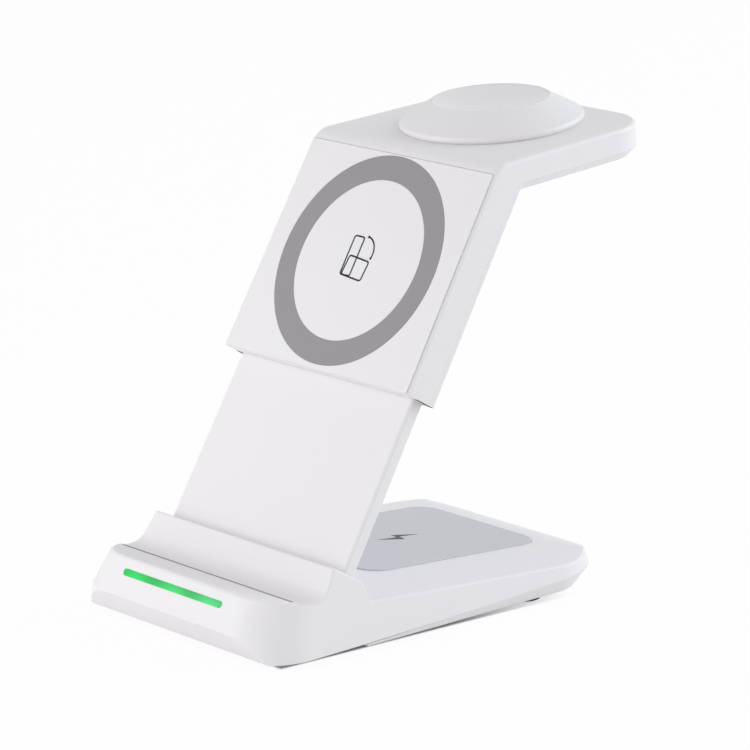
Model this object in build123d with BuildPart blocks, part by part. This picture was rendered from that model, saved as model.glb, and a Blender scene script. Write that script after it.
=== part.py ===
from math import cos, radians, sin, tan
import os

from build123d import *

# Lean of the phone panel and of the watch plate
panel_slope = 60.0
plate_slope = 5.2
head_draft = 1.7

# Base outline and heights
base_width = 77.6
waist_height = 8.2
front_reach = 26.1
base_rear_reach = 95.3
front_corner_radius = 15.0
rear_corner_radius = 20.0
front_wall_lean = 29.0
side_draft = 11.5
base_wall = 2.2
crest_height = 22.6
crest_radius = 0.6
cheek_edge_radius = 0.5
foot_height = 1.6
bevel_run = 4.9
toe_wall = 2.6
rim_middle_height = 4.25
rim_rear_height = 7.2
block_ceiling = 8.5

# Phone trough and front lip
trough_depth = 7.8
trough_fillet = 5.0
lip_back_reach = 11.8
lip_step = 1.0
lip_slope = 9.0
lip_edge_radius = 1.2
strip_width = 0.7
strip_height = 1.15
strip_length = 68.6
strip_edge = 0.2

# Block behind the crest and rear platform
block_top_depth = 9.8
block_rear_slope = 72.0
block_rear_radius = 0.7
block_front_reach = 8.0
block_rear_reach = 14.0
platform_slope = 2.4
platform_rear_height = 11.05
shoulder_run = 14.3
shoulder_drop = 2.5
shoulder_crease = 0.03
rear_shoulder_run = 12.3
rim_edge_radius = 0.8

# Earbud pad, coil and ferrite
pad_width = 46.8
pad_length = 59.3
pad_front_reach = 23.0
pad_corner_radius = 6.5
pad_thickness = 1.0
pad_recess = 0.6
pad_edge = 0.3
earbud_coil_outer = 20.0
earbud_coil_inner = 9.0
earbud_coil_thickness = 0.9
earbud_ferrite_size = 44.0
earbud_ferrite_thickness = 0.7

# Indicator light
light_length = 40.0
light_width = 1.9
light_up = 6.5
light_flange_length = 42.0
light_flange_width = 4.0
light_flange_thickness = 1.2
led_length = 1.6
led_width = 1.2
led_thickness = 0.8
led_spacing = 12.0
led_count = 3
indicator_board_width = 5.0
indicator_board_thickness = 1.0
light_bay_length = 45.0
light_bay_rear_reach = 14.2
light_bay_top = 14.8

# Bottom cover, feet and screws
cover_floor = 1.8
cover_gap = 0.15
cover_floor_reach = 42.0
skirt_angle = 34.0
skirt_front_reach = 8.0
skirt_front_inset = 0.7
skirt_wall = 2.4
foot_radius = 5.0
foot_recess = 0.8
foot_edge = 0.4
foot_spread = 29.0
foot_front_reach = 8.0
foot_rear_reach = 70.0
screw_radius = 1.1
screw_head_radius = 2.2
screw_head_height = 1.4
screw_slot_length = 2.6
screw_slot_width = 0.6
screw_slot_depth = 0.7
screw_clearance = 0.15
screw_play = 0.03
counterbore = 1.5
boss_radius = 3.0
boss_lift = 2.2
base_screw_length = 6.0

# Circuit board and power inlet
board_width = 48.0
board_length = 31.0
board_front = 58.0
board_thickness = 1.0
board_lift = 0.6
post_inset = 3.0
post_radius = 2.0
chip_places = [
    (-13.0, 66.0, 8.0, 8.0, 2.4),
    (0.0, 65.0, 5.0, 5.0, 0.9),
    (12.0, 66.0, 7.0, 7.0, 0.9),
    (14.0, 78.0, 5.0, 6.0, 1.8),
    (-12.0, 79.0, 9.0, 5.0, 1.2),
]
socket_width = 8.94
socket_height = 3.26
socket_length = 7.3
socket_wall = 0.3
socket_setback = 2.0
socket_depth = 6.2
inlet_width = 9.6
inlet_height = 3.8
tongue_width = 6.7
tongue_height = 0.7
tongue_length = 4.6
part_clearance = 0.1

# Arm
arm_setback = 4.7
arm_thickness = 4.1
arm_inset = 2.3
arm_skin = 1.3
arm_side_wall = 1.4
arm_edge_radius = 1.0
arm_root = 6.0
arm_top = 60.5
spine_width = 46.0
spine_thickness = 1.2
spine_drop = 4.5
spine_flange = 11.0
arm_screw_spread = 15.0
arm_screw_reach = 8.0
arm_screw_length = 4.5
ribbon_root = 12.0
ribbon_width = 14.0
ribbon_thickness = 0.25
glide_length = 3.0
glide_tongue = 2.0

# Head: leaning leg, bend and plate
head_bottom_half = 36.5
head_wall = 1.8
head_thickness = 10.6
ring_up = 77.4
panel_below = 30.3
panel_above = 29.5
panel_corner_radius = 0.6
panel_rim = 0.5
panel_lap = 1.0
panel_flange = 0.5
corner_above = 32.0
bend_radius = 6.5
plate_length = 57.5
plate_thickness = 8.6
plate_chamfer = 2.2
plate_corner_radius = 14.0
head_fillet = 1.2
leg_edge_radius = 0.5
slide_clearance = 0.3
rear_cover_thickness = 1.4
channel_top_wall = 2.0
channel_inset = 1.3
hollow_front = 5.0

# Front panel and phone charging parts
panel_thickness = 1.2
ring_outer = 29.0
ring_inner = 22.25
ring_thickness = 0.4
ring_play = 0.05
coil_bay_radius = 28.4
coil_bay_depth = 2.2
shield_thickness = 0.5
magnet_outer = 27.9
magnet_inner = 23.2
magnet_thickness = 1.2
magnet_count = 16
magnet_split = 0.6
phone_coil_outer = 20.5
phone_coil_inner = 10.0
phone_coil_thickness = 1.1
phone_ferrite_radius = 21.5
phone_ferrite_thickness = 0.8

# Watch seat
puck_along = 30.3
puck_foot_radius = 23.7
puck_base_radius = 25.0
puck_skirt = 1.3
puck_height = 6.8
puck_top_radius = 15.7
puck_skirt_radius = 1.1
puck_rim = 0.4
puck_wall = 1.6
puck_bore = 13.1
puck_groove = 2.4
puck_groove_top = 18.5
puck_groove_foot = 21.6
dish_depth = 1.9
dish_sink = 0.05
dish_thickness = 1.2
watch_ferrite_radius = 12.6
watch_ferrite_thickness = 0.8
watch_coil_outer = 12.2
watch_coil_inner = 6.0
watch_coil_thickness = 1.2
watch_magnet_radius = 4.5
watch_magnet_thickness = 1.8

# Board, pads and screws in the head
charge_board_width = 44.0
charge_board_length = 26.0
charge_board_front = 22.0
charge_board_lift = 1.4
pad_spread = 18.0
friction_pad_width = 10.0
friction_pad_length = 10.0
friction_pad_thickness = 0.3
friction_pad_up = 49.0
head_screw_spread = 27.0
head_screw_front = 17.0
head_screw_rear = 47.0
head_screw_length = 4.6

# Shared directions and places
lean_cos = cos(radians(panel_slope))
lean_sin = sin(radians(panel_slope))
tilt_cos = cos(radians(plate_slope))
tilt_sin = sin(radians(plate_slope))
fall = tan(radians(platform_slope))
base_half = base_width / 2
shoulder_start = round(base_half - shoulder_run, 3)
corner_s = ring_up + corner_above
plate_edge = plate_thickness - plate_chamfer
rear_reach = corner_s * lean_cos + plate_length * tilt_cos + plate_edge * tilt_sin
crest_y = (front_reach - rear_reach) / 2
head_bottom = ring_up - panel_below
far = 200.0
touch = 0.01
lengthwise = 0.8
rising = 0.5


def lean(along, out):
    """World y and z of a point given along the panel from the crest and out of its face."""
    y = crest_y + along * lean_cos - out * lean_sin
    z = crest_height + along * lean_sin + out * lean_cos
    return (y, z)


def platform_z(reach):
    """Height of the platform's flat at a distance behind the crest."""
    return platform_rear_height + (base_rear_reach - reach) * fall


head_bottom_y = lean(head_bottom, 0)[0]
corner_y, corner_z = lean(corner_s, 0)
arm_back = arm_setback + arm_thickness
spine_top = arm_top - spine_drop
spine_front = arm_setback + arm_skin + ribbon_thickness + part_clearance
spine_back = spine_front + spine_thickness
channel_front = arm_setback - slide_clearance
parting_depth = head_thickness - rear_cover_thickness
turn_cos = cos(radians(panel_slope - plate_slope))
turn_sin = sin(radians(panel_slope - plate_slope))
channel_top = corner_s + channel_front * turn_cos / turn_sin - channel_top_wall
inner_along = (head_thickness - plate_thickness * turn_cos) / turn_sin
parting_along = (parting_depth - plate_edge * turn_cos) / turn_sin
trough_z = crest_height - trough_depth
lip_z = trough_z + lip_step
cover_top = foot_height + cover_floor
board_z = cover_top + board_lift
wall_depth = base_wall * cos(radians(front_wall_lean))
side_fall = shoulder_drop * ((base_half + base_wall - shoulder_start) / (base_half - shoulder_start)) ** 2
toe_inside = crest_y - front_reach + bevel_run + toe_wall
cover_front = toe_inside + cover_gap
base_post_z = cover_top + boss_lift
base_screw_seat = foot_height + foot_recess + counterbore
head_screw_seat = counterbore - plate_thickness
socket_mouth = crest_y + base_rear_reach - socket_setback
socket_back = socket_mouth - socket_length
socket_z = board_z + board_thickness / 2
skirt_spread = (waist_height - foot_height) * tan(radians(skirt_angle))
flare = tan(radians(side_draft))
skirt_rise_inset = (rim_rear_height - foot_height) * tan(radians(skirt_angle))
skirt_lead = (waist_height - rim_rear_height) * flare - skirt_rise_inset
skirt_front_half = base_half + (waist_height - foot_height) * flare - skirt_front_inset
skirt_rear_half = base_half + skirt_lead
skirt_rear_reach = base_rear_reach + skirt_lead
skirt_corner_radius = rear_corner_radius - skirt_rise_inset
dish_radius = puck_top_radius - puck_rim
dish_seat = puck_height - dish_sink - dish_depth - dish_thickness

panel_plane = Plane(
    origin=(0, crest_y, crest_height), x_dir=(1, 0, 0), z_dir=(0, -lean_sin, lean_cos)
)
side_plane = Plane(
    origin=(0, crest_y, crest_height), x_dir=(0, lean_cos, lean_sin), z_dir=(1, 0, 0)
)
plate_plane = Plane(
    origin=(0, corner_y, corner_z), x_dir=(1, 0, 0), z_dir=(0, -tilt_sin, tilt_cos)
)
plate_side = Plane(
    origin=(0, corner_y, corner_z), x_dir=(0, tilt_cos, tilt_sin), z_dir=(1, 0, 0)
)
puck_center = plate_plane.from_local_coords(Vector(0, puck_along, 0))
puck_section = Plane(
    origin=puck_center, x_dir=(1, 0, 0), z_dir=(0, -tilt_cos, -tilt_sin)
)
puck_axis = Axis(puck_center, plate_plane.z_dir)
puck_plane = Plane(origin=puck_center, x_dir=(1, 0, 0), z_dir=plate_plane.z_dir)
front_wall_plane = Plane(
    origin=(0, crest_y - front_reach, waist_height),
    x_dir=(1, 0, 0),
    z_dir=(0, -cos(radians(front_wall_lean)), sin(radians(front_wall_lean))),
)
light_plane = Plane(
    origin=front_wall_plane.from_local_coords(Vector(0, light_up, 0)),
    x_dir=(1, 0, 0),
    z_dir=front_wall_plane.z_dir,
)
pad_middle = pad_front_reach + pad_length / 2
platform_plane = Plane(
    origin=(0, crest_y + pad_middle, platform_z(pad_middle)),
    x_dir=(1, 0, 0),
    z_dir=(0, sin(radians(platform_slope)), cos(radians(platform_slope))),
)
ring_plane = Plane(
    origin=panel_plane.from_local_coords(Vector(0, ring_up, 0)),
    x_dir=(1, 0, 0),
    z_dir=panel_plane.z_dir,
)
platform_ceiling = platform_plane.offset(-base_wall * cos(radians(platform_slope)))
bay_floor = ring_plane.offset(-panel_thickness - coil_bay_depth)
inlet_plane = Plane(origin=(0, socket_mouth, socket_z), x_dir=(1, 0, 0), z_dir=(0, 1, 0))
bay_wall_plane = front_wall_plane.offset(-wall_depth)
light_bay_foot = bay_wall_plane.from_local_coords(Vector(0, light_up - light_flange_width, 0))
light_bay_crown = bay_wall_plane.from_local_coords(Vector(0, light_up + light_flange_width / 2, 0))


def head_half(y):
    """Half width of the head at a depth y: its sides draw in towards the rear."""
    return head_bottom_half - (y - head_bottom_y) * tan(radians(head_draft))


def plate_point(along, drop):
    """Place beside the panel line of a point along the plate and under its top face."""
    return (
        corner_s + along * turn_cos - drop * turn_sin,
        -along * turn_sin - drop * turn_cos,
    )


def height_on(depth, z):
    """World y and z where a line behind the panel reaches a height."""
    along = (z - crest_height + depth * lean_cos) / lean_sin
    return lean(along, -depth)


def on_head_rim(edge):
    """True for the edges that run up the panel, over the bend and round the plate's top."""
    middle = edge.position_at(0.5)
    beside = abs(middle.X) > bend_radius
    on_panel = abs(panel_plane.to_local_coords(middle).Z) < touch and beside
    plate_place = plate_plane.to_local_coords(middle)
    on_plate = abs(plate_place.Z) < touch and (beside or plate_place.Y > puck_along)
    on_bend = beside and abs(plate_place.Z) < bend_radius / 2 and abs(plate_place.Y) < bend_radius / 2
    return on_panel or on_plate or on_bend


def on_lip(edge):
    """True for the lip's upper edge, along its front and round both corners."""
    middle = edge.position_at(0.5)
    lip_top = lip_z + (crest_y - lip_back_reach - middle.Y) * tan(radians(lip_slope))
    return abs(middle.Z - lip_top) < touch and middle.Y < crest_y - lip_back_reach - touch


def on_platform_rim(edge):
    """True for the edges where the platform's shoulders meet the walls."""
    middle = edge.position_at(0.5)
    behind = middle.Y > crest_y + block_rear_reach
    beside = abs(middle.X) > base_half - 2 * base_wall
    at_rear = middle.Y > crest_y + base_rear_reach - 2 * base_wall
    return behind and (beside or at_rear) and middle.Z > waist_height - touch


def on_cheek(edge):
    """True for the side edges of the trough, crest and block."""
    middle = edge.position_at(0.5)
    beside = abs(middle.X) > base_half - 2 * base_wall
    between = crest_y - lip_back_reach + touch < middle.Y < crest_y + block_rear_reach
    return beside and between and middle.Z > trough_z - base_wall / 2


def draft_sides(inset):
    """Plan outline between the drafted head sides, moved in by an inset."""
    near = crest_y - front_reach
    wide = crest_y + rear_reach + front_reach
    with BuildSketch(Plane.XY) as sides:
        with BuildLine():
            Polyline(
                (-head_half(near) + inset, near),
                (head_half(near) - inset, near),
                (head_half(wide) - inset, wide),
                (-head_half(wide) + inset, wide),
                close=True,
            )
        make_face()
    return sides.sketch_local


def base_outline(inset, height):
    """Base outline at a height above the waist, moved in by an inset."""
    shrink = inset + height * flare
    half = base_half - shrink
    front = crest_y - front_reach + inset + max(height, 0) * tan(radians(front_wall_lean))
    rear = crest_y + base_rear_reach - shrink
    with BuildSketch(Plane.XY) as outline:
        with BuildLine():
            Polyline((-half, front), (half, front), (half, rear), (-half, rear), close=True)
        make_face()
        fillet(outline.vertices().sort_by(Axis.Y)[:2], radius=front_corner_radius - inset)
        fillet(outline.vertices().sort_by(Axis.Y)[-2:], radius=rear_corner_radius - inset)
    return outline.sketch_local


def base_hull(inset):
    """The base's outer walls, drafted at the sides; the front leans above the waist only."""
    rise = crest_height + foot_height - waist_height
    with BuildPart() as hull:
        for low, high in ((-waist_height, 0), (0, rise)):
            for height in (low, high):
                with BuildSketch(Plane.XY.offset(waist_height + height)):
                    add(base_outline(inset, height))
            loft(ruled=True)
    return hull.part


def platform_body(inset, start):
    """Base walls from a start line rearward, closed by the platform with its falling shoulders."""
    end = base_rear_reach + front_reach
    flat = base_rear_reach - rear_shoulder_run
    side_end = base_half + base_wall
    start_z = platform_z(start) - inset
    flat_z = platform_z(flat) - inset
    rear_z = platform_rear_height - inset - shoulder_drop
    with BuildPart() as body:
        add(base_hull(inset))
        with BuildSketch(Plane.YZ):
            with BuildLine():
                Polyline(
                    (crest_y + start, 0),
                    (crest_y + start, start_z),
                    (crest_y + end, platform_z(end) - inset),
                    (crest_y + end, 0),
                    close=True,
                )
            make_face()
        extrude(amount=far, both=True, mode=Mode.INTERSECT)
        shoulder_plane = Plane(
            origin=(0, crest_y + start, start_z),
            x_dir=(1, 0, 0),
            z_dir=(0, -cos(radians(platform_slope)), sin(radians(platform_slope))),
        )
        with BuildSketch(shoulder_plane):
            with BuildLine():
                TangentArc(
                    (shoulder_start, 0), (side_end, -side_fall), tangent=(1, -shoulder_crease)
                )
                Polyline(
                    (side_end, -side_fall), (side_end, far), (shoulder_start, far), (shoulder_start, 0)
                )
            make_face()
            mirror(about=Plane.YZ)
        extrude(amount=-far, mode=Mode.SUBTRACT)
        with BuildSketch(Plane.YZ):
            with BuildLine():
                TangentArc(
                    (crest_y + flat, flat_z),
                    (crest_y + base_rear_reach, rear_z),
                    tangent=(1, -fall - shoulder_crease),
                )
                Polyline(
                    (crest_y + base_rear_reach, rear_z),
                    (crest_y + base_rear_reach, far),
                    (crest_y + flat, far),
                    (crest_y + flat, flat_z),
                )
            make_face()
        extrude(amount=far, both=True, mode=Mode.SUBTRACT)
    return body.part


def under_rim(gap):
    """Side view of all that lies under the bevelled front and the curved lower rim."""
    front = crest_y - front_reach
    toe = front + bevel_run
    rise = waist_height - foot_height
    middle = crest_y + base_rear_reach / 2
    rear = crest_y + base_rear_reach + base_wall
    with BuildSketch(Plane.XY) as region:
        with BuildLine():
            ThreePointArc(
                (toe, foot_height - gap), (middle, rim_middle_height - gap), (rear, rim_rear_height - gap)
            )
            Polyline(
                (rear, rim_rear_height - gap),
                (rear, -far),
                (front - bevel_run, -far),
                (front - bevel_run, waist_height + rise - gap),
                (toe, foot_height - gap),
            )
        make_face()
    return region.sketch_local


def slab(low, high, back, front, inset):
    """A plate parallel to the panel between two places along it and two depths behind it."""
    with BuildPart() as plate:
        with BuildSketch(side_plane):
            with Locations(((low + high) / 2, -(back + front) / 2)):
                Rectangle(high - low, back - front)
        extrude(amount=far, both=True)
        with BuildSketch(Plane.XY):
            add(draft_sides(inset))
        extrude(amount=far, mode=Mode.INTERSECT)
    return plate.part


def panel_slab(low, front, gap):
    """The front panel: a core plate under a thin flange that laps over the rim around it."""
    top = ring_up + panel_above - gap
    with BuildPart() as panel:
        add(slab(low, top, panel_flange, front, panel_rim + gap))
        corners = panel.edges().filter_by(
            lambda edge: abs(edge.tangent_at(0.5).dot(panel_plane.z_dir)) > lengthwise
        )
        fillet(corners.sort_by(Axis.Z)[-2:], radius=panel_corner_radius - gap)
        add(slab(low, top - panel_lap, panel_thickness, panel_flange, panel_rim + panel_lap + gap))
    return panel.part


def screws(plane, places, seat, length):
    """Pan-head screws standing in a plane's normal, the underside of each head at the seat."""
    with BuildPart() as group:
        with BuildSketch(plane.offset(seat)):
            with Locations(*places):
                Circle(screw_radius)
        extrude(amount=length)
        with BuildSketch(plane.offset(seat)):
            with Locations(*places):
                Circle(screw_head_radius)
        extrude(amount=-screw_head_height)
        with BuildSketch(plane.offset(seat - screw_head_height)):
            with Locations(*places):
                Rectangle(screw_slot_length, screw_slot_width)
                Rectangle(screw_slot_width, screw_slot_length)
        extrude(amount=screw_slot_depth, mode=Mode.SUBTRACT)
    return group.part


def keep(builder, name):
    """Labels a finished part and writes its file."""
    builder.part.label = name
    export_step(builder.part, "parts/" + name + ".step")


foot_places = [
    (side * foot_spread, crest_y + reach)
    for side in (-1, 1)
    for reach in (-foot_front_reach, foot_rear_reach)
]
board_posts = [
    (side * (board_width / 2 - post_inset), crest_y + reach)
    for side in (-1, 1)
    for reach in (board_front + post_inset, board_front + board_length - post_inset)
]
arm_screw_places = [
    (-arm_screw_spread, crest_y + arm_screw_reach),
    (arm_screw_spread, crest_y + arm_screw_reach),
]
head_screw_places = [
    (side * head_screw_spread, along)
    for side in (-1, 1)
    for along in (head_screw_front, head_screw_rear)
]
charge_posts = [
    (side * (charge_board_width / 2 - post_inset), charge_board_front + along)
    for side in (-1, 1)
    for along in (post_inset, charge_board_length - post_inset)
]

spine_heel = height_on(spine_back, block_ceiling)
spine_toe = height_on(spine_front, block_ceiling - spine_thickness)

os.makedirs("parts", exist_ok=True)

# Front block: front wall, lip, trough and crest
knee_place = lean(-trough_depth / lean_sin, 0)
rear_top_place = lean(0, -block_top_depth)
rear_foot_y = rear_top_place[0] + (rear_top_place[1] - waist_height) / tan(radians(block_rear_slope))
lip_end_y = crest_y - base_width
lip_end_z = lip_z + (base_width - lip_back_reach) * tan(radians(lip_slope))
with BuildPart() as front_block:
    add(base_hull(0))
    with BuildSketch(Plane.YZ) as block_profile:
        with BuildLine():
            Polyline(
                (crest_y, crest_height),
                rear_top_place,
                (rear_foot_y, waist_height),
                (rear_foot_y, 0),
                (lip_end_y, 0),
                (lip_end_y, lip_end_z),
                (crest_y - lip_back_reach, lip_z),
                (crest_y - lip_back_reach, trough_z),
                knee_place,
                close=True,
            )
        make_face()
        fillet(block_profile.vertices().sort_by_distance((*knee_place, 0))[0], radius=trough_fillet)
        fillet(
            block_profile.vertices().sort_by_distance((crest_y, crest_height, 0))[0],
            radius=crest_radius,
        )
        fillet(
            block_profile.vertices().sort_by_distance((*rear_top_place, 0))[0],
            radius=block_rear_radius,
        )
    extrude(amount=far, both=True, mode=Mode.INTERSECT)

# Hollow of the base, open below
with BuildPart() as base_hollow:
    add(base_hull(base_wall))
    with BuildSketch(Plane.YZ):
        with BuildLine():
            Polyline(
                (toe_inside, 0),
                (toe_inside, foot_height),
                (crest_y - front_reach + base_wall, waist_height),
                (crest_y - front_reach, waist_height),
                (crest_y - front_reach, trough_z - base_wall),
                (crest_y - block_front_reach, trough_z - base_wall),
                (crest_y - block_front_reach, block_ceiling),
                (crest_y + block_rear_reach, block_ceiling),
                (crest_y + block_rear_reach, 0),
                close=True,
            )
        make_face()
    extrude(amount=far, both=True, mode=Mode.INTERSECT)
    add(platform_body(base_wall, block_rear_reach))

# Base housing: block and platform in one moulding
with BuildPart() as base_housing:
    add(front_block.part)
    add(platform_body(0, block_top_depth / 2))
    fillet(base_housing.edges().filter_by(on_lip), radius=lip_edge_radius)
    fillet(base_housing.edges().filter_by(on_platform_rim), radius=rim_edge_radius)
    with BuildSketch(Plane.YZ):
        add(under_rim(0))
    extrude(amount=far, both=True, mode=Mode.SUBTRACT)
    add(base_hollow.part, mode=Mode.SUBTRACT)
    fillet(base_housing.edges().filter_by(on_cheek), radius=cheek_edge_radius)
    # Bay for the light bar behind the front wall
    with BuildSketch(Plane.YZ):
        with BuildLine():
            Polyline(
                (light_bay_foot.Y, light_bay_foot.Z),
                (light_bay_crown.Y, light_bay_crown.Z),
                (crest_y - light_bay_rear_reach, light_bay_top),
                (crest_y - light_bay_rear_reach, light_bay_foot.Z),
                close=True,
            )
        make_face()
    extrude(amount=light_bay_length / 2, both=True, mode=Mode.SUBTRACT)
    with BuildSketch(light_plane):
        SlotOverall(light_length, light_width)
    extrude(amount=-wall_depth - part_clearance, mode=Mode.SUBTRACT)
    # Step for the rubber strip along the lip
    with BuildSketch(Plane.YZ):
        with Locations((crest_y - lip_back_reach, trough_z)):
            Rectangle(
                2 * (strip_width + part_clearance), 2 * strip_height, align=(Align.CENTER, Align.MIN)
            )
    extrude(amount=strip_length / 2 + part_clearance, both=True, mode=Mode.SUBTRACT)
    # Pocket and slot for the arm
    add(
        slab(
            -arm_root,
            head_bottom / 2,
            arm_back + part_clearance,
            arm_setback - part_clearance,
            arm_inset - part_clearance,
        ),
        mode=Mode.SUBTRACT,
    )
    with BuildSketch(panel_plane.offset(-arm_setback - arm_skin)):
        with Locations((0, -arm_root)):
            Rectangle(spine_width + 2 * part_clearance, 2 * spine_flange)
    extrude(amount=arm_setback + arm_skin - spine_back - part_clearance, mode=Mode.SUBTRACT)
    # Recess for the earbud pad
    with BuildSketch(platform_plane):
        RectangleRounded(
            pad_width + 2 * part_clearance, pad_length + 2 * part_clearance, pad_corner_radius
        )
    extrude(amount=-pad_recess, mode=Mode.SUBTRACT)
    # Screw posts over the feet
    for place, roof in zip(foot_places, 2 * (trough_z, platform_z(foot_rear_reach))):
        with BuildSketch(Plane.XY.offset(base_post_z)):
            with Locations(place):
                Circle(boss_radius)
        extrude(amount=roof - base_wall / 2 - base_post_z)
    with BuildSketch(Plane.XY.offset(base_post_z)):
        with Locations(*foot_places):
            Circle(screw_radius + screw_play)
    extrude(amount=base_screw_seat + base_screw_length + part_clearance - base_post_z, mode=Mode.SUBTRACT)
    with BuildSketch(Plane.XY.offset(block_ceiling)):
        with Locations(*arm_screw_places):
            Circle(screw_radius + screw_play)
    extrude(amount=arm_screw_length - spine_thickness + part_clearance, mode=Mode.SUBTRACT)
keep(base_housing, "base_housing")

# Bottom cover with the flared skirt under the curved rim
with BuildPart() as bottom_cover:
    for height, spread in ((foot_height, 0), (waist_height, skirt_spread)):
        with BuildSketch(Plane.XY.offset(height)) as skirt:
            with BuildLine():
                Polyline(
                    (-skirt_front_half - spread, crest_y + skirt_front_reach),
                    (skirt_front_half + spread, crest_y + skirt_front_reach),
                    (skirt_rear_half + spread, crest_y + skirt_rear_reach + spread),
                    (-skirt_rear_half - spread, crest_y + skirt_rear_reach + spread),
                    close=True,
                )
            make_face()
            fillet(skirt.vertices().sort_by(Axis.Y)[-2:], radius=skirt_corner_radius + spread)
    loft(ruled=True)
    with BuildSketch(Plane.YZ):
        add(under_rim(cover_gap))
    extrude(amount=far, both=True, mode=Mode.INTERSECT)
    with BuildSketch(Plane.XY.offset(cover_top)):
        add(base_outline(base_wall + skirt_wall, 0))
    extrude(amount=waist_height, mode=Mode.SUBTRACT)
    with BuildSketch(Plane.XY.offset(foot_height)):
        add(base_outline(base_wall + cover_gap, cover_top - waist_height))
        with Locations((0, cover_front)):
            Rectangle(
                base_width,
                crest_y + cover_floor_reach - cover_front,
                align=(Align.CENTER, Align.MIN),
                mode=Mode.INTERSECT,
            )
    extrude(amount=cover_floor)
    with BuildSketch(Plane.XY.offset(cover_top)):
        with Locations(*foot_places):
            Circle(boss_radius)
    extrude(amount=base_post_z - part_clearance - cover_top)
    with BuildSketch(Plane.XY.offset(cover_top)):
        with Locations(*board_posts):
            Circle(post_radius)
    extrude(amount=board_lift)
    with BuildSketch(Plane.XY):
        with Locations(*foot_places):
            Circle(screw_radius + screw_clearance)
    extrude(amount=waist_height, mode=Mode.SUBTRACT)
    with BuildSketch(Plane.XY):
        with Locations(*foot_places):
            Circle(screw_head_radius + screw_clearance)
    extrude(amount=base_screw_seat, mode=Mode.SUBTRACT)
    with BuildSketch(Plane.XY.offset(foot_height)):
        with Locations(*foot_places):
            Circle(foot_radius + part_clearance)
    extrude(amount=foot_recess, mode=Mode.SUBTRACT)
    with BuildSketch(inlet_plane):
        SlotOverall(inlet_width, inlet_height)
    extrude(amount=socket_length, both=True, mode=Mode.SUBTRACT)
keep(bottom_cover, "bottom_cover")

# Rubber feet
with BuildPart() as foot_pads:
    with BuildSketch(Plane.XY):
        with Locations(*foot_places):
            Circle(foot_radius)
    extrude(amount=foot_height + foot_recess)
    fillet(foot_pads.edges().group_by(Axis.Z)[0], radius=foot_edge)
keep(foot_pads, "foot_pads")

# Rubber strip on the rear edge of the lip
with BuildPart() as rest_strip:
    with BuildSketch(Plane.YZ) as strip_section:
        with Locations((crest_y - lip_back_reach, trough_z)):
            Rectangle(strip_width, strip_height, align=(Align.MAX, Align.MIN))
        fillet(strip_section.vertices().group_by(Axis.Y)[-1], radius=strip_edge)
    extrude(amount=strip_length / 2, both=True)
keep(rest_strip, "rest_strip")

# Light bar with its flange, lamps and board
with BuildPart() as light_bar:
    with BuildSketch(light_plane):
        SlotOverall(light_length - part_clearance, light_width - part_clearance)
    extrude(amount=-wall_depth)
    with BuildSketch(light_plane.offset(-wall_depth)):
        Rectangle(light_flange_length, light_flange_width)
    extrude(amount=-light_flange_thickness)
keep(light_bar, "light_bar")

with BuildPart() as indicator_leds:
    with BuildSketch(light_plane.offset(-wall_depth - light_flange_thickness)):
        with GridLocations(led_spacing, 0, led_count, 1):
            Rectangle(led_length, led_width)
    extrude(amount=-led_thickness)
keep(indicator_leds, "indicator_leds")

with BuildPart() as indicator_board:
    with BuildSketch(light_plane.offset(-wall_depth - light_flange_thickness - led_thickness)):
        Rectangle(light_flange_length, indicator_board_width)
    extrude(amount=-indicator_board_thickness)
keep(indicator_board, "indicator_board")

# Earbud pad, coil and ferrite
with BuildPart() as earbud_pad:
    with BuildSketch(platform_plane.offset(-pad_recess)):
        RectangleRounded(pad_width, pad_length, pad_corner_radius)
    extrude(amount=pad_thickness)
    upward = Axis(platform_plane.origin, platform_plane.z_dir)
    fillet(earbud_pad.edges().group_by(upward)[-1], radius=pad_edge)
keep(earbud_pad, "earbud_pad")

with BuildPart() as earbud_coil:
    with BuildSketch(platform_ceiling):
        Circle(earbud_coil_outer)
        Circle(earbud_coil_inner, mode=Mode.SUBTRACT)
    extrude(amount=-earbud_coil_thickness)
keep(earbud_coil, "earbud_coil")

with BuildPart() as earbud_ferrite:
    with BuildSketch(platform_ceiling.offset(-earbud_coil_thickness)):
        RectangleRounded(earbud_ferrite_size, earbud_ferrite_size, post_radius)
    extrude(amount=-earbud_ferrite_thickness)
keep(earbud_ferrite, "earbud_ferrite")

# Circuit board, its components and the power inlet
with BuildPart() as main_board:
    with BuildSketch(Plane.XY.offset(board_z)):
        with Locations((0, crest_y + board_front)):
            Rectangle(board_width, board_length, align=(Align.CENTER, Align.MIN))
        with Locations((0, socket_back - part_clearance)):
            Rectangle(
                socket_width + 2 * part_clearance,
                board_length,
                align=(Align.CENTER, Align.MIN),
                mode=Mode.SUBTRACT,
            )
    extrude(amount=board_thickness)
keep(main_board, "main_board")

with BuildPart() as board_chips:
    for x, reach, width, length, height in chip_places:
        with BuildSketch(Plane.XY.offset(board_z + board_thickness)):
            with Locations((x, crest_y + reach)):
                Rectangle(width, length)
        extrude(amount=height)
keep(board_chips, "board_chips")

with BuildPart() as usb_socket:
    with BuildSketch(inlet_plane):
        SlotOverall(socket_width, socket_height)
    extrude(amount=-socket_length)
    with BuildSketch(inlet_plane):
        SlotOverall(socket_width - 2 * socket_wall, socket_height - 2 * socket_wall)
    extrude(amount=-socket_depth, mode=Mode.SUBTRACT)
    with BuildSketch(inlet_plane.offset(-socket_depth)):
        Rectangle(tongue_width, tongue_height)
    extrude(amount=tongue_length)
keep(usb_socket, "usb_socket")

with BuildPart() as base_screws:
    add(screws(Plane.XY, foot_places, base_screw_seat, base_screw_length))
keep(base_screws, "base_screws")

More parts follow.
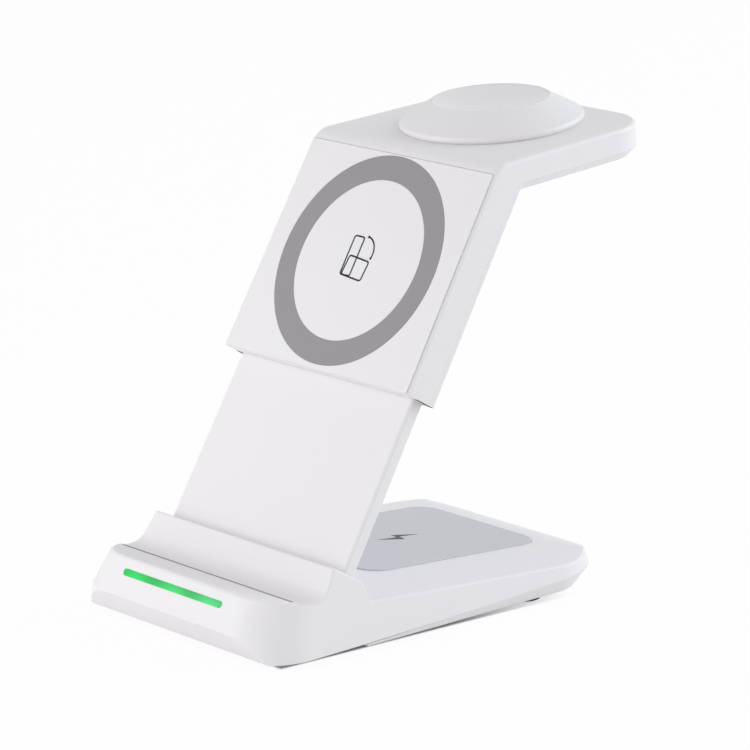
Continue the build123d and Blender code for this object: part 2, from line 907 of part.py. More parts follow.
# Arm: two covers around a bent steel spine
with BuildPart() as arm_front_cover:
    add(slab(-arm_root, arm_top, arm_back, arm_setback, arm_inset))
    fillet(
        arm_front_cover.edges().filter_by(
            lambda edge: abs(edge.tangent_at(0.5).dot(side_plane.x_dir)) > lengthwise
        ),
        radius=arm_edge_radius,
    )
    add(
        slab(
            -2 * arm_root,
            2 * arm_top,
            2 * arm_back,
            arm_setback + arm_skin,
            arm_inset + arm_side_wall,
        ),
        mode=Mode.SUBTRACT,
    )
keep(arm_front_cover, "arm_front_cover")

with BuildPart() as arm_rear_cover:
    add(
        slab(
            -arm_root,
            arm_top - glide_tongue - part_clearance,
            arm_back,
            spine_back,
            arm_inset + arm_side_wall + part_clearance,
        )
    )
keep(arm_rear_cover, "arm_rear_cover")

with BuildPart() as arm_spine:
    with BuildSketch(Plane.YZ) as spine_profile:
        with BuildLine():
            Polyline(
                lean(spine_top, -spine_front),
                lean(spine_top, -spine_back),
                spine_heel,
                (spine_heel[0] + spine_flange, block_ceiling),
                (spine_heel[0] + spine_flange, block_ceiling - spine_thickness),
                spine_toe,
                close=True,
            )
        make_face()
        fillet(spine_profile.vertices().sort_by_distance((*spine_toe, 0))[0], radius=spine_thickness)
    extrude(amount=spine_width / 2, both=True)
    with BuildSketch(Plane.XY):
        with Locations(*arm_screw_places):
            Circle(screw_radius + screw_clearance)
    extrude(amount=block_ceiling, mode=Mode.SUBTRACT)
keep(arm_spine, "arm_spine")

with BuildPart() as arm_glide:
    add(
        slab(
            arm_top,
            arm_top + glide_length,
            arm_back + part_clearance,
            arm_setback - part_clearance,
            arm_inset,
        )
    )
    add(
        slab(
            arm_top - glide_tongue,
            arm_top,
            arm_back,
            arm_setback + arm_skin,
            arm_inset + arm_side_wall + part_clearance,
        )
    )
keep(arm_glide, "arm_glide")

with BuildPart() as arm_screws:
    add(screws(Plane.XY, arm_screw_places, block_ceiling - spine_thickness, arm_screw_length))
keep(arm_screws, "arm_screws")

with BuildPart() as ribbon_cable:
    with BuildSketch(panel_plane.offset(-arm_setback - arm_skin)):
        with Locations((0, -ribbon_root)):
            Rectangle(
                ribbon_width,
                arm_top - glide_tongue - part_clearance + ribbon_root,
                align=(Align.CENTER, Align.MIN),
            )
    extrude(amount=-ribbon_thickness)
keep(ribbon_cable, "ribbon_cable")

# Outer form of the head: leaning leg, bend and plate
with BuildPart() as head_form:
    with BuildSketch(side_plane) as head_profile:
        with BuildLine():
            Polyline(
                (head_bottom, 0),
                (corner_s, 0),
                plate_point(plate_length, 0),
                plate_point(plate_length, plate_thickness),
                plate_point(inner_along, plate_thickness),
                (head_bottom, -head_thickness),
                close=True,
            )
        make_face()
        fillet(head_profile.vertices().sort_by_distance((corner_s, 0, 0))[0], radius=bend_radius)
    extrude(amount=far, both=True)
    with BuildSketch(Plane.XY):
        add(draft_sides(0))
    extrude(amount=far, mode=Mode.INTERSECT)
    fillet(
        head_form.edges().filter_by(
            lambda edge: abs(edge.tangent_at(0.5).dot(plate_plane.z_dir)) > lengthwise
            and plate_plane.to_local_coords(edge.position_at(0.5)).Y > plate_length - bend_radius
        ),
        radius=plate_corner_radius,
    )
    chamfer(
        head_form.edges().filter_by(
            lambda edge: abs(plate_plane.to_local_coords(edge.position_at(0.5)).Z + plate_thickness) < touch
            and plate_plane.to_local_coords(edge.position_at(0.5)).Y > puck_along / 2
        ),
        length=plate_chamfer,
    )
    fillet(head_form.edges().filter_by(on_head_rim), radius=head_fillet)
    fillet(
        head_form.edges().filter_by(
            lambda edge: abs(panel_plane.to_local_coords(edge.position_at(0.5)).Z + head_thickness) < touch
            and abs(edge.tangent_at(0.5).Z) > rising
        ),
        radius=leg_edge_radius,
    )

with BuildPart() as behind_parting:
    with BuildSketch(side_plane):
        with BuildLine():
            Polyline(
                (0, -parting_depth),
                plate_point(parting_along, plate_edge),
                plate_point(far, plate_edge),
                (0, -far),
                close=True,
            )
        make_face()
    extrude(amount=far, both=True)

with BuildPart() as plate_hollow:
    with BuildSketch(plate_side):
        with Locations((hollow_front, -head_wall)):
            Rectangle(
                plate_length - head_wall - hollow_front, plate_thickness, align=(Align.MIN, Align.MAX)
            )
    extrude(amount=far, both=True)
    with BuildSketch(Plane.XY):
        add(draft_sides(head_wall))
    extrude(amount=far, mode=Mode.INTERSECT)
    fillet(
        plate_hollow.edges().filter_by(
            lambda edge: abs(edge.tangent_at(0.5).dot(plate_plane.z_dir)) > lengthwise
            and plate_plane.to_local_coords(edge.position_at(0.5)).Y > puck_along
        ),
        radius=plate_corner_radius - head_wall,
    )

# Head shell with recess, coil bay, channel and plate hollow
with BuildPart() as head_shell:
    add(head_form.part)
    add(behind_parting.part, mode=Mode.SUBTRACT)
    add(panel_slab(head_bottom / 2, -panel_thickness, 0), mode=Mode.SUBTRACT)
    with BuildSketch(ring_plane.offset(-panel_thickness)):
        Circle(coil_bay_radius)
    extrude(amount=-coil_bay_depth, mode=Mode.SUBTRACT)
    add(
        slab(head_bottom / 2, channel_top, head_thickness, channel_front, channel_inset),
        mode=Mode.SUBTRACT,
    )
    add(plate_hollow.part, mode=Mode.SUBTRACT)
    with BuildSketch(plate_plane.offset(part_clearance - plate_edge)):
        with Locations(*head_screw_places):
            Circle(boss_radius)
    extrude(amount=plate_edge - head_wall / 2)
    with BuildSketch(plate_plane.offset(-plate_edge)):
        with Locations(*head_screw_places):
            Circle(screw_radius + screw_play)
    extrude(amount=head_screw_seat + head_screw_length + part_clearance + plate_edge, mode=Mode.SUBTRACT)
keep(head_shell, "head_shell")

with BuildPart() as head_rear_cover:
    add(head_form.part)
    add(behind_parting.part, mode=Mode.INTERSECT)
    with BuildSketch(plate_plane.offset(-plate_edge)):
        with Locations(*charge_posts):
            Circle(post_radius)
    extrude(amount=charge_board_lift)
    with BuildSketch(plate_plane.offset(-plate_thickness)):
        with Locations(*head_screw_places):
            Circle(screw_radius + screw_clearance)
    extrude(amount=plate_chamfer, mode=Mode.SUBTRACT)
    with BuildSketch(plate_plane.offset(head_screw_seat)):
        with Locations(*head_screw_places):
            Circle(screw_head_radius + screw_clearance)
    extrude(amount=-plate_chamfer, mode=Mode.SUBTRACT)
keep(head_rear_cover, "head_rear_cover")

# Front panel with its inlaid ring
with BuildPart() as front_panel:
    add(panel_slab(head_bottom, 0, part_clearance))
    with BuildSketch(ring_plane):
        Circle(ring_outer + ring_play)
        Circle(ring_inner - ring_play, mode=Mode.SUBTRACT)
    extrude(amount=-ring_thickness, mode=Mode.SUBTRACT)
keep(front_panel, "front_panel")

with BuildPart() as ring_inlay:
    with BuildSketch(ring_plane):
        Circle(ring_outer)
        Circle(ring_inner, mode=Mode.SUBTRACT)
    extrude(amount=-ring_thickness)
keep(ring_inlay, "ring_inlay")

# Phone charging parts in the coil bay
with BuildPart() as magnet_shield:
    with BuildSketch(bay_floor):
        Circle(magnet_outer + part_clearance)
        Circle(magnet_inner - part_clearance, mode=Mode.SUBTRACT)
    extrude(amount=shield_thickness)
keep(magnet_shield, "magnet_shield")

with BuildPart() as phone_magnets:
    with BuildSketch(bay_floor.offset(shield_thickness)):
        Circle(magnet_outer)
        Circle(magnet_inner, mode=Mode.SUBTRACT)
        with PolarLocations((magnet_outer + magnet_inner) / 2, magnet_count):
            Rectangle(2 * (magnet_outer - magnet_inner), magnet_split, mode=Mode.SUBTRACT)
    extrude(amount=magnet_thickness)
keep(phone_magnets, "phone_magnets")

with BuildPart() as phone_ferrite:
    with BuildSketch(bay_floor):
        Circle(phone_ferrite_radius)
    extrude(amount=phone_ferrite_thickness)
keep(phone_ferrite, "phone_ferrite")

with BuildPart() as phone_coil:
    with BuildSketch(bay_floor.offset(phone_ferrite_thickness)):
        Circle(phone_coil_outer)
        Circle(phone_coil_inner, mode=Mode.SUBTRACT)
    extrude(amount=phone_coil_thickness)
keep(phone_coil, "phone_coil")

# Watch seat on the plate
with BuildPart() as watch_puck:
    with BuildSketch(puck_section) as puck_profile:
        with BuildLine():
            Polyline(
                (puck_bore, 0),
                (puck_bore + puck_wall, 0),
                (puck_bore + puck_wall, puck_groove),
                (puck_groove_top, puck_groove),
                (puck_groove_foot, 0),
                (puck_foot_radius, 0),
                (puck_base_radius, puck_skirt),
                (puck_top_radius, puck_height),
                (dish_radius, puck_height),
                (dish_radius, dish_seat),
                (puck_bore, dish_seat),
                close=True,
            )
        make_face()
        fillet(
            puck_profile.vertices().sort_by_distance((puck_base_radius, puck_skirt, 0))[0],
            radius=puck_skirt_radius,
        )
        fillet(
            puck_profile.vertices().sort_by_distance((puck_top_radius, puck_height, 0))[0],
            radius=puck_rim / 2,
        )
    revolve(axis=puck_axis)
keep(watch_puck, "watch_puck")

with BuildPart() as watch_dish:
    with BuildSketch(puck_section):
        with BuildLine():
            ThreePointArc(
                (-dish_radius, puck_height - dish_sink),
                (0, puck_height - dish_sink - dish_depth),
                (dish_radius, puck_height - dish_sink),
            )
            Polyline(
                (dish_radius, puck_height - dish_sink),
                (dish_radius, dish_seat),
                (-dish_radius, dish_seat),
                (-dish_radius, puck_height - dish_sink),
            )
        make_face()
        with Locations((0, puck_height / 2)):
            Rectangle(puck_base_radius, puck_height, align=(Align.MIN, Align.CENTER), mode=Mode.INTERSECT)
    revolve(axis=puck_axis)
keep(watch_dish, "watch_dish")

with BuildPart() as watch_ferrite:
    with BuildSketch(puck_plane):
        Circle(watch_ferrite_radius)
    extrude(amount=watch_ferrite_thickness)
keep(watch_ferrite, "watch_ferrite")

with BuildPart() as watch_coil:
    with BuildSketch(puck_plane.offset(watch_ferrite_thickness)):
        Circle(watch_coil_outer)
        Circle(watch_coil_inner, mode=Mode.SUBTRACT)
    extrude(amount=watch_coil_thickness)
keep(watch_coil, "watch_coil")

with BuildPart() as watch_magnet:
    with BuildSketch(puck_plane.offset(watch_ferrite_thickness)):
        Circle(watch_magnet_radius)
    extrude(amount=watch_magnet_thickness)
keep(watch_magnet, "watch_magnet")

# Board, friction pads and screws in the head
with BuildPart() as charge_board:
    with BuildSketch(plate_plane.offset(charge_board_lift - plate_edge)):
        with Locations((0, charge_board_front)):
            Rectangle(charge_board_width, charge_board_length, align=(Align.CENTER, Align.MIN))
    extrude(amount=board_thickness)
keep(charge_board, "charge_board")

with BuildPart() as friction_pads:
    with BuildSketch(panel_plane.offset(-parting_depth)):
        with Locations((-pad_spread, friction_pad_up), (pad_spread, friction_pad_up)):
            Rectangle(friction_pad_width, friction_pad_length, align=(Align.CENTER, Align.MIN))
    extrude(amount=friction_pad_thickness)
keep(friction_pads, "friction_pads")

with BuildPart() as head_screws:
    add(screws(plate_plane, head_screw_places, head_screw_seat, head_screw_length))
keep(head_screws, "head_screws")
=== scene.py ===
import math

import bpy
from mathutils import Matrix, Vector


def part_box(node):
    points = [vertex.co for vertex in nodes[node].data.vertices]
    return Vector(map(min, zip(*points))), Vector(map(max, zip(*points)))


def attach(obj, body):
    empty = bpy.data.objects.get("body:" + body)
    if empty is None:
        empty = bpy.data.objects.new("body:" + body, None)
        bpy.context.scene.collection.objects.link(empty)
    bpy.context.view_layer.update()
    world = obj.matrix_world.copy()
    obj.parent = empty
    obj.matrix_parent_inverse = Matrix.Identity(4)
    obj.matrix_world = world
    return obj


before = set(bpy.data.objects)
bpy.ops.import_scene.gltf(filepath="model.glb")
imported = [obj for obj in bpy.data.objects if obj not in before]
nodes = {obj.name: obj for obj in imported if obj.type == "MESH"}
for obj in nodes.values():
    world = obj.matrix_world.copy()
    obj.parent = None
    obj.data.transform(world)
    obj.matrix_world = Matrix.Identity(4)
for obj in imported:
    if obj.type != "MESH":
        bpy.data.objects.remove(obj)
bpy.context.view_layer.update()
mm = 0.001  # sizes below are in millimetres
print("frame loaded:", len(nodes), "nodes")


def linear(hexColor):  # sRGB hex to the linear colour that the shaders take
    parts = [int(hexColor[i:i + 2], 16) / 255 for i in (1, 3, 5)]
    return [c / 12.92 if c <= 0.04045 else ((c + 0.055) / 1.055) ** 2.4 for c in parts] + [1.0]


def addNode(tree, kind, settings=None, links=None):  # one node with its socket values and links
    made = tree.nodes.new(kind)
    for name, value in (settings or {}).items():
        if isinstance(name, int) or name in made.inputs:
            made.inputs[name].default_value = value
        else:
            setattr(made, name, value)
    for name, source in (links or {}).items():
        tree.links.new(source, made.inputs[name])
    return made


def startMaterial(name, color, roughness):  # a new material with its shader and object coordinates
    material = bpy.data.materials.new(name)
    material.use_nodes = True
    tree = material.node_tree
    shader = tree.nodes["Principled BSDF"]
    shader.inputs["Base Color"].default_value = linear(color)
    shader.inputs["Roughness"].default_value = roughness
    return material, tree, shader, addNode(tree, "ShaderNodeTexCoord")


def perMetre(sizeMm):  # texture scale at which one cell of a pattern is this many millimetres
    return 1 / (sizeMm * mm)


mould = {"edgeMm": 0.12, "edgeSamples": 4, "grainDetail": 2.0, "grainStrength": 0.25}


def moulded(name, color, roughness, grainMm, grainDepthMm, shine=0.5):
    material, tree, shader, coords = startMaterial(name, color, roughness)
    shader.inputs["Specular IOR Level"].default_value = shine
    grain = addNode(tree, "ShaderNodeTexNoise",
                    {"Scale": perMetre(grainMm), "Detail": mould["grainDetail"]},
                    {"Vector": coords.outputs["Object"]})
    edge = addNode(tree, "ShaderNodeBevel",
                   {"samples": mould["edgeSamples"], "Radius": mould["edgeMm"] * mm})  # broken edges
    bump = addNode(tree, "ShaderNodeBump",
                   {"Strength": mould["grainStrength"], "Distance": grainDepthMm * mm},
                   {"Height": grain.outputs["Fac"], "Normal": edge.outputs["Normal"]})
    tree.links.new(bump.outputs["Normal"], shader.inputs["Normal"])
    return material


# Moulded, cast and printed surfaces: the real grain is too fine to show and is drawn coarser
whiteAbs = moulded("white ABS, satin moulded", "#F1EFF1", 0.42, 0.35, 0.004)  # even satin sheen
polishedAbs = moulded("white ABS, polished", "#F0EEF0", 0.16, 2.0, 0.001)  # mirrors softly
ringLacquer = moulded("grey ring lacquer, printed", "#9A979A", 0.38, 0.3, 0.002)  # slightly silky
padSilicone = moulded("grey silicone, cast", "#D3D3D7", 0.62, 0.4, 0.006, 0.35)  # dry, no highlight
# The dark rubber also serves as painted shade at the sleeve's mouth, below
darkRubberAndPaintedShade = moulded("dark rubber, moulded, and painted shade", "#2C2A2C", 0.7, 0.4, 0.006, 0.3)  # dull, nearly black
stripRubber = moulded("grey rubber, extruded", "#989597", 0.7, 0.4, 0.006, 0.3)  # dull mid grey
signInk = moulded("dark ink, printed", "#1E1D1F", 0.5, 0.3, 0.001)  # crisp dark lines
boltInk = moulded("grey ink, printed", "#55555A", 0.55, 0.3, 0.001)  # crisp grey shape
boardMask = moulded("solder mask on glass fibre", "#1D5B3E", 0.35, 1.0, 0.01)  # half glossy green
chipEpoxy = moulded("black epoxy, moulded", "#1B1B1D", 0.5, 0.5, 0.004)  # plain black, half matt
bearingAcetal = moulded("acetal, natural", "#E4E3DF", 0.35, 0.5, 0.003)  # creamy and waxy
ribbonFilm = moulded("polyimide film", "#B06A18", 0.3, 1.0, 0.003)  # smooth amber
padFelt = moulded("felt, pressed", "#4C4C50", 0.95, 0.25, 0.03, 0.1)  # dark and fibrous
ferriteSheet = moulded("ferrite, sintered", "#3A3A3C", 0.6, 0.6, 0.01)  # like fine slate

plating = {"streakDetail": 3.0, "streakStrength": 0.15, "streakDepthMm": 0.002}


def metal(name, color, roughness, streakMm):
    material, tree, shader, coords = startMaterial(name, color, roughness)
    shader.inputs["Metallic"].default_value = 1.0
    streaks = addNode(tree, "ShaderNodeTexNoise",
                      {"Scale": perMetre(streakMm), "Detail": plating["streakDetail"]},
                      {"Vector": coords.outputs["Object"]})
    bump = addNode(tree, "ShaderNodeBump",
                   {"Strength": plating["streakStrength"], "Distance": plating["streakDepthMm"] * mm},
                   {"Height": streaks.outputs["Fac"]})
    tree.links.new(bump.outputs["Normal"], shader.inputs["Normal"])
    return material


platedSteel = metal("steel, nickel plated", "#BDBEC0", 0.3, 0.5)  # cool and bright
magnetNickel = metal("magnet, nickel plated", "#C6C3BC", 0.25, 0.8)  # warmer and brighter
coilCopper = metal("copper wire, enamelled", "#C87848", 0.35, 0.3)  # red gold

# Light guide: green acrylic lit in three spots, paler to the right, with painted shade darkening its glow
# along its upper edge
guide = {"bodyColor": "#0E5A28", "roughness": 0.3, "shine": 0.2, "leftColor": "#36D865",
         "rightColor": "#62DD8F", "upperEdgePaintedShade": 0.75, "spotGapMm": 15.0, "betweenDim": 0.72, "glow": 1.02}
lightGuide, guideTree, guideShader, guideCoords = startMaterial(
    "green acrylic light guide, lit", guide["bodyColor"], guide["roughness"])
guideShader.inputs["Specular IOR Level"].default_value = guide["shine"]
guideShader.inputs["Emission Strength"].default_value = guide["glow"]
barLow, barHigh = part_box("light_bar")
place = addNode(guideTree, "ShaderNodeSeparateXYZ", links={"Vector": guideCoords.outputs["Object"]})
across = addNode(guideTree, "ShaderNodeMapRange", {"From Min": barLow[0], "From Max": barHigh[0]},
                 {"Value": place.outputs["X"]})
hue = addNode(guideTree, "ShaderNodeValToRGB", links={"Fac": across.outputs["Result"]})
hue.color_ramp.elements[0].color = linear(guide["leftColor"])
hue.color_ramp.elements[1].color = linear(guide["rightColor"])
# painted shade: the glow is dimmed towards the bar's upper edge, as if the bar sat in a shaded recess
paintedUpperShade = addNode(guideTree, "ShaderNodeMapRange",
                 {"From Min": (barLow[2] + barHigh[2]) / 2, "From Max": barHigh[2],
                  "To Min": 1.0, "To Max": guide["upperEdgePaintedShade"]}, {"Value": place.outputs["Z"]})
waveTurn = addNode(guideTree, "ShaderNodeMath",
                   {"operation": "MULTIPLY", 1: 2 * math.pi * perMetre(guide["spotGapMm"])},
                   {0: place.outputs["X"]})
wave = addNode(guideTree, "ShaderNodeMath", {"operation": "COSINE"}, {0: waveTurn.outputs[0]})
spots = addNode(guideTree, "ShaderNodeMapRange",
                {"From Min": -1.0, "From Max": 1.0, "To Min": guide["betweenDim"], "To Max": 1.0},
                {"Value": wave.outputs[0]})
brightness = addNode(guideTree, "ShaderNodeMath", {"operation": "MULTIPLY"},
                     {0: paintedUpperShade.outputs["Result"], 1: spots.outputs["Result"]})
dimmed = addNode(guideTree, "ShaderNodeVectorMath", {"operation": "SCALE"},
                 {"Vector": hue.outputs["Color"], "Scale": brightness.outputs[0]})
guideTree.links.new(dimmed.outputs["Vector"], guideShader.inputs["Emission Color"])

finishes = {
    whiteAbs: ["base_housing", "bottom_cover", "arm_front_cover", "arm_rear_cover", "head_shell",
               "head_rear_cover", "front_panel", "watch_puck"],
    polishedAbs: ["watch_dish"],
    ringLacquer: ["ring_inlay"],
    padSilicone: ["earbud_pad"],
    darkRubberAndPaintedShade: ["foot_pads"],
    stripRubber: ["rest_strip"],
    lightGuide: ["light_bar", "indicator_leds"],
    boardMask: ["indicator_board", "main_board", "charge_board"],
    chipEpoxy: ["board_chips"],
    platedSteel: ["usb_socket", "base_screws", "arm_spine", "arm_screws", "magnet_shield",
                  "head_screws"],
    magnetNickel: ["phone_magnets", "watch_magnet"],
    coilCopper: ["earbud_coil", "phone_coil", "watch_coil"],
    ferriteSheet: ["earbud_ferrite", "phone_ferrite", "watch_ferrite"],
    bearingAcetal: ["arm_glide"],
    ribbonFilm: ["ribbon_cable"],
    padFelt: ["friction_pads"],
}
for material, names in finishes.items():
    for name in names:
        nodes[name].data.materials.clear()
        nodes[name].data.materials.append(material)
print("finishes given to", sum(len(names) for names in finishes.values()), "nodes")

# Signs and painted shade: drawn flat in millimetres, given a thin layer's thickness and laid on their
# faces
ink = {"thickMm": 0.03, "liftMm": 0.01, "strokeMm": 0.46, "cornerSteps": 8}


def flatPlate(name, leftLow, rightHigh, corner):  # rounded rectangle
    bpy.ops.object.select_all(action="DESELECT")
    bpy.ops.mesh.primitive_plane_add(size=1)
    piece = bpy.context.object
    piece.name = name
    piece.scale = (rightHigh[0] - leftLow[0], rightHigh[1] - leftLow[1], 1)
    piece.location = ((leftLow[0] + rightHigh[0]) / 2, (leftLow[1] + rightHigh[1]) / 2, 0)
    bpy.ops.object.transform_apply(location=True, rotation=False, scale=True)
    bpy.ops.object.mode_set(mode="EDIT")
    bpy.ops.mesh.select_all(action="SELECT")
    bpy.ops.mesh.bevel(offset=corner, segments=ink["cornerSteps"], affect="VERTICES")
    bpy.ops.object.mode_set(mode="OBJECT")
    return piece


def keepStroke(piece):  # leaves only a line of the stroke's width along the edge
    bpy.ops.object.mode_set(mode="EDIT")
    bpy.ops.mesh.select_all(action="SELECT")
    bpy.ops.mesh.inset(thickness=ink["strokeMm"])
    bpy.ops.mesh.delete(type="FACE")
    bpy.ops.object.mode_set(mode="OBJECT")
    return piece


def keepArc(piece, center, startTurn, endTurn):  # leaves the faces between two turns, in degrees
    bpy.ops.object.mode_set(mode="EDIT")
    bpy.ops.mesh.select_mode(type="FACE")
    bpy.ops.mesh.select_all(action="DESELECT")
    bpy.ops.object.mode_set(mode="OBJECT")
    for face in piece.data.polygons:
        spot = face.center
        turned = math.degrees(math.atan2(spot.y - center[1], spot.x - center[0]))
        face.select = not startTurn <= turned <= endTurn
    bpy.ops.object.mode_set(mode="EDIT")
    bpy.ops.mesh.delete(type="FACE")
    bpy.ops.object.mode_set(mode="OBJECT")
    return piece


def layOn(pieces, name, origin, along, normal, material, body):  # one thin layer on a face of a body
    bpy.ops.object.select_all(action="DESELECT")
    for piece in pieces:
        piece.select_set(True)
    bpy.context.view_layer.objects.active = pieces[0]
    if len(pieces) > 1:
        bpy.ops.object.join()
    sign = bpy.context.object
    sign.name = name
    thickness = sign.modifiers.new("ink thickness", "SOLIDIFY")
    thickness.thickness = ink["thickMm"]
    thickness.offset = 1
    bpy.ops.object.modifier_apply(modifier=thickness.name)
    side = along.cross(normal)
    turnTo = Matrix((side, along, normal)).transposed().to_4x4()
    sign.matrix_world = (Matrix.Translation(origin + normal * ink["liftMm"] * mm) @ turnTo
                         @ Matrix.Scale(mm, 4))
    bpy.ops.object.transform_apply(location=True, rotation=True, scale=True)
    sign.data.materials.append(material)
    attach(sign, body)


def faceCenter(node, normal, thickMm):  # middle of a thin plate's outer face
    low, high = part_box(node)
    return (Vector(low) + Vector(high)) / 2 + normal * thickMm / 2 * mm


# Turning-phone sign in the ring: an upright and a lying phone with an arc between them
turnSign = {"lean": 60.0, "ringThickMm": 0.4, "upright": ((-4.8, -4.9), (-0.6, 6.4)),
            "lying": ((-3.9, -5.2), (4.4, 0.7)), "lyingTilt": -5.0, "cornerMm": 0.9,
            "arcCenter": (0.0, 2.2), "arcRadiusMm": 4.6, "arcFrom": -14.0, "arcTo": 83.0,
            "arcSteps": 96, "dotMm": 0.36, "dotCornerMm": 0.324}
leanTurn = math.radians(turnSign["lean"])
upPanel = Vector((0, math.cos(leanTurn), math.sin(leanTurn)))
outPanel = Vector((0, -math.sin(leanTurn), math.cos(leanTurn)))
upright = keepStroke(flatPlate("upright phone", *turnSign["upright"], turnSign["cornerMm"]))
lying = keepStroke(flatPlate("lying phone", *turnSign["lying"], turnSign["cornerMm"]))
lying.rotation_euler.z = math.radians(turnSign["lyingTilt"])
bpy.ops.object.transform_apply(location=False, rotation=True, scale=False)
arcAt = turnSign["arcCenter"]
bpy.ops.object.select_all(action="DESELECT")
bpy.ops.mesh.primitive_circle_add(vertices=turnSign["arcSteps"], radius=turnSign["arcRadiusMm"],
                                  fill_type="NGON", location=(*arcAt, 0))
bpy.ops.object.transform_apply(location=True, rotation=False, scale=False)
arc = keepArc(keepStroke(bpy.context.object), arcAt, turnSign["arcFrom"], turnSign["arcTo"])
strokes = [upright, lying, arc]
reach = turnSign["arcRadiusMm"] - ink["strokeMm"] / 2
dot = turnSign["dotMm"]
for endTurn in (math.radians(turnSign["arcFrom"]), math.radians(turnSign["arcTo"])):
    tipX = arcAt[0] + reach * math.cos(endTurn)
    tipY = arcAt[1] + reach * math.sin(endTurn)
    strokes.append(flatPlate("arc end", (tipX - dot, tipY - dot), (tipX + dot, tipY + dot),
                             turnSign["dotCornerMm"]))
layOn(strokes, "turning_phone_sign", faceCenter("ring_inlay", outPanel, turnSign["ringThickMm"]),
      upPanel, outPanel, signInk, "head")

# Charge sign on the earbud pad: a bolt that points to the rear
boltSign = {"slope": 2.4, "padThickMm": 1.0,
            "points": ((0.65, 6.5), (-2.6, -0.5), (0.0, -0.65), (-0.85, -6.55), (2.7, -0.1), (-0.3, 0.5))}
padTurn = math.radians(boltSign["slope"])
rearPad = Vector((0, math.cos(padTurn), -math.sin(padTurn)))
outPad = Vector((0, math.sin(padTurn), math.cos(padTurn)))
bpy.ops.object.select_all(action="DESELECT")
bpy.ops.mesh.primitive_circle_add(vertices=len(boltSign["points"]), fill_type="NGON")
bolt = bpy.context.object
for corner, spot in zip(bolt.data.vertices, boltSign["points"]):
    corner.co = (*spot, 0)
layOn([bolt], "charge_sign", faceCenter("earbud_pad", outPad, boltSign["padThickMm"]),
      rearPad, outPad, boltInk, "stand")

# Painted shade: dark sheets on the ends of the head's side walls, where its sleeve opens round the arm,
# stand in for the shade inside the hollow sleeve
mouth = {"innerMm": 35.06, "outerMm": 36.2, "frontMm": -4.5, "rearMm": -10.2, "cornerMm": 0.15,
         "panelThickMm": 1.2}
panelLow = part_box("front_panel")[0]
mouthEdge = Vector((0, panelLow[1], panelLow[2] + mouth["panelThickMm"] * math.cos(leanTurn) * mm))
shadeSheets = []
for side in (-1, 1):
    left, right = sorted((side * mouth["innerMm"], side * mouth["outerMm"]))
    shadeSheets.append(flatPlate("side shade sheet", (left, mouth["rearMm"]), (right, mouth["frontMm"]),
                           mouth["cornerMm"]))
# painted shade: the dark rubber here is a sheet put where there is only shade, not a real part
layOn(shadeSheets, "sleeve_mouth_painted_shade", mouthEdge, outPanel, -upPanel, darkRubberAndPaintedShade, "head")
print("signs and trim laid on the panel, the pad and the sleeve")

# Studio: pale floor and room, a soft light near the front and one from the rear right
studio = {"floorSize": 3.0, "floorColor": "#F7F6F7", "floorRoughness": 0.9, "white": "#FFFFFF",
          "whiteShare": 0.95, "wallLevel": 0.83, "ceilingLevel": 0.58}
under = {"sideMm": 36.5, "frontMm": -61.0, "softMm": 1.0, "fadeFromMm": 0.0, "fadeToMm": 40.0}
bpy.ops.object.select_all(action="DESELECT")
bpy.ops.mesh.primitive_plane_add(size=studio["floorSize"], location=(0, 0, 0))
floor = bpy.context.object
floor.name = "studio floor"

# White studio paper: lost in the background to the eye, but left in shade under the base
floorPaper, paperTree, paperShader, paperCoords = startMaterial(
    "white studio paper", studio["floorColor"], studio["floorRoughness"])
whiteGlow = addNode(paperTree, "ShaderNodeEmission", {"Strength": 1.0})
rays = addNode(paperTree, "ShaderNodeLightPath")
seen = addNode(paperTree, "ShaderNodeMath", {"operation": "MAXIMUM"},
               {0: rays.outputs["Is Camera Ray"], 1: rays.outputs["Is Glossy Ray"]})
floorPlace = addNode(paperTree, "ShaderNodeSeparateXYZ", links={"Vector": paperCoords.outputs["Object"]})
beside = addNode(paperTree, "ShaderNodeMath", {"operation": "ABSOLUTE"}, {0: floorPlace.outputs["X"]})
shadeEdges = [(beside.outputs[0], under["sideMm"] - under["softMm"], under["sideMm"]),
              (floorPlace.outputs["Y"], under["frontMm"] + under["softMm"], under["frontMm"]),
              (floorPlace.outputs["Y"], under["fadeFromMm"], under["fadeToMm"])]
sideShare, frontShare, rearShare = [
    addNode(paperTree, "ShaderNodeMapRange", {"From Min": shadedMm * mm, "From Max": openMm * mm},
            {"Value": distance}).outputs["Result"] for distance, shadedMm, openMm in shadeEdges]
nearer = addNode(paperTree, "ShaderNodeMath", {"operation": "MAXIMUM"}, {0: sideShare, 1: frontShare})
openShare = addNode(paperTree, "ShaderNodeMath", {"operation": "MAXIMUM"},
                    {0: nearer.outputs[0], 1: rearShare})
white = addNode(paperTree, "ShaderNodeMath", {"operation": "MULTIPLY", 1: studio["whiteShare"]},
                {0: openShare.outputs[0]})
share = addNode(paperTree, "ShaderNodeMath", {"operation": "MULTIPLY"},
                {0: seen.outputs[0], 1: white.outputs[0]})
mixed = addNode(paperTree, "ShaderNodeMixShader",
                links={0: share.outputs[0], 1: paperShader.outputs[0], 2: whiteGlow.outputs[0]})
paperTree.links.new(mixed.outputs[0], paperTree.nodes["Material Output"].inputs["Surface"])
floor.data.materials.append(floorPaper)

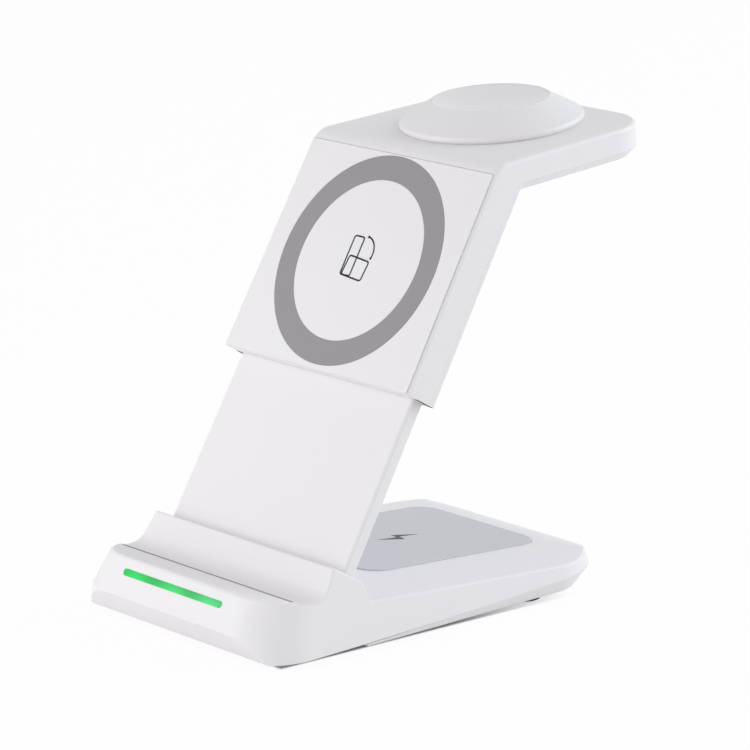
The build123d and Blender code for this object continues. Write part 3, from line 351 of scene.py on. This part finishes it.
# Room: plain white to the camera, and lit with walls brighter than the ceiling
world = bpy.data.worlds.new("soft white room")
bpy.context.scene.world = world
world.use_nodes = True
roomTree = world.node_tree
roomShader = roomTree.nodes["Background"]
roomShader.inputs["Color"].default_value = linear(studio["white"])
roomCoords = addNode(roomTree, "ShaderNodeTexCoord")
height = addNode(roomTree, "ShaderNodeSeparateXYZ", links={"Vector": roomCoords.outputs["Generated"]})
level = addNode(roomTree, "ShaderNodeMapRange",
                {"To Min": studio["wallLevel"], "To Max": studio["ceilingLevel"]},
                {"Value": height.outputs["Z"]})
roomTree.links.new(level.outputs["Result"], roomShader.inputs["Strength"])
roomWhite = addNode(roomTree, "ShaderNodeBackground", {"Color": linear(studio["white"]), "Strength": 1.0})
roomRays = addNode(roomTree, "ShaderNodeLightPath")
roomMix = addNode(roomTree, "ShaderNodeMixShader",
                  links={0: roomRays.outputs["Is Camera Ray"], 1: roomShader.outputs[0],
                         2: roomWhite.outputs[0]})
roomTree.links.new(roomMix.outputs[0], roomTree.nodes["World Output"].inputs["Surface"])

softboxes = [
    {"name": "front softbox", "place": (-0.1, -0.32, 0.12), "size": 0.2, "power": 0.29,
     "color": "#FFFFFF"},
    {"name": "rear softbox", "place": (0.45, 1.0, 0.6), "size": 0.8, "power": 5.5,
     "color": "#EDF7FF"},
]
lampAim = Vector((0, 0, 0.06))  # middle of the charger, in metres
for box in softboxes:
    bpy.ops.object.light_add(type="AREA", location=box["place"])
    lamp = bpy.context.object
    lamp.name = box["name"]
    lamp.data.size = box["size"]
    lamp.data.energy = box["power"]
    lamp.data.color = linear(box["color"])[:3]
    lamp.rotation_mode = "QUATERNION"
    lamp.rotation_quaternion = (lampAim - Vector(box["place"])).to_track_quat("-Z", "Y")
print("studio lit")

# Camera at the photograph's angle: azimuth and height round the object, long lens
shot = {"azimuth": 49.19, "elevation": 13.52, "distanceMm": 1038.3, "aimMm": (14.62, -11.42, 63.01),
        "lensMm": 195.9, "sensorMm": 36.0, "nearMm": 50.0, "farMm": 20000.0}
turn, lift = math.radians(shot["azimuth"]), math.radians(shot["elevation"])
towards = Vector((math.sin(turn) * math.cos(lift), -math.cos(turn) * math.cos(lift), math.sin(lift)))
bpy.ops.object.camera_add(location=(Vector(shot["aimMm"]) + towards * shot["distanceMm"]) * mm)
camera = bpy.context.object
camera.name = "photo camera"
camera.data.lens = shot["lensMm"]
camera.data.sensor_width = shot["sensorMm"]
camera.data.clip_start = shot["nearMm"] * mm
camera.data.clip_end = shot["farMm"] * mm
camera.rotation_mode = "QUATERNION"
camera.rotation_quaternion = (-towards).to_track_quat("-Z", "Y")
bpy.context.scene.camera = camera
bpy.context.scene.view_settings.view_transform = "Standard"

print("camera set")
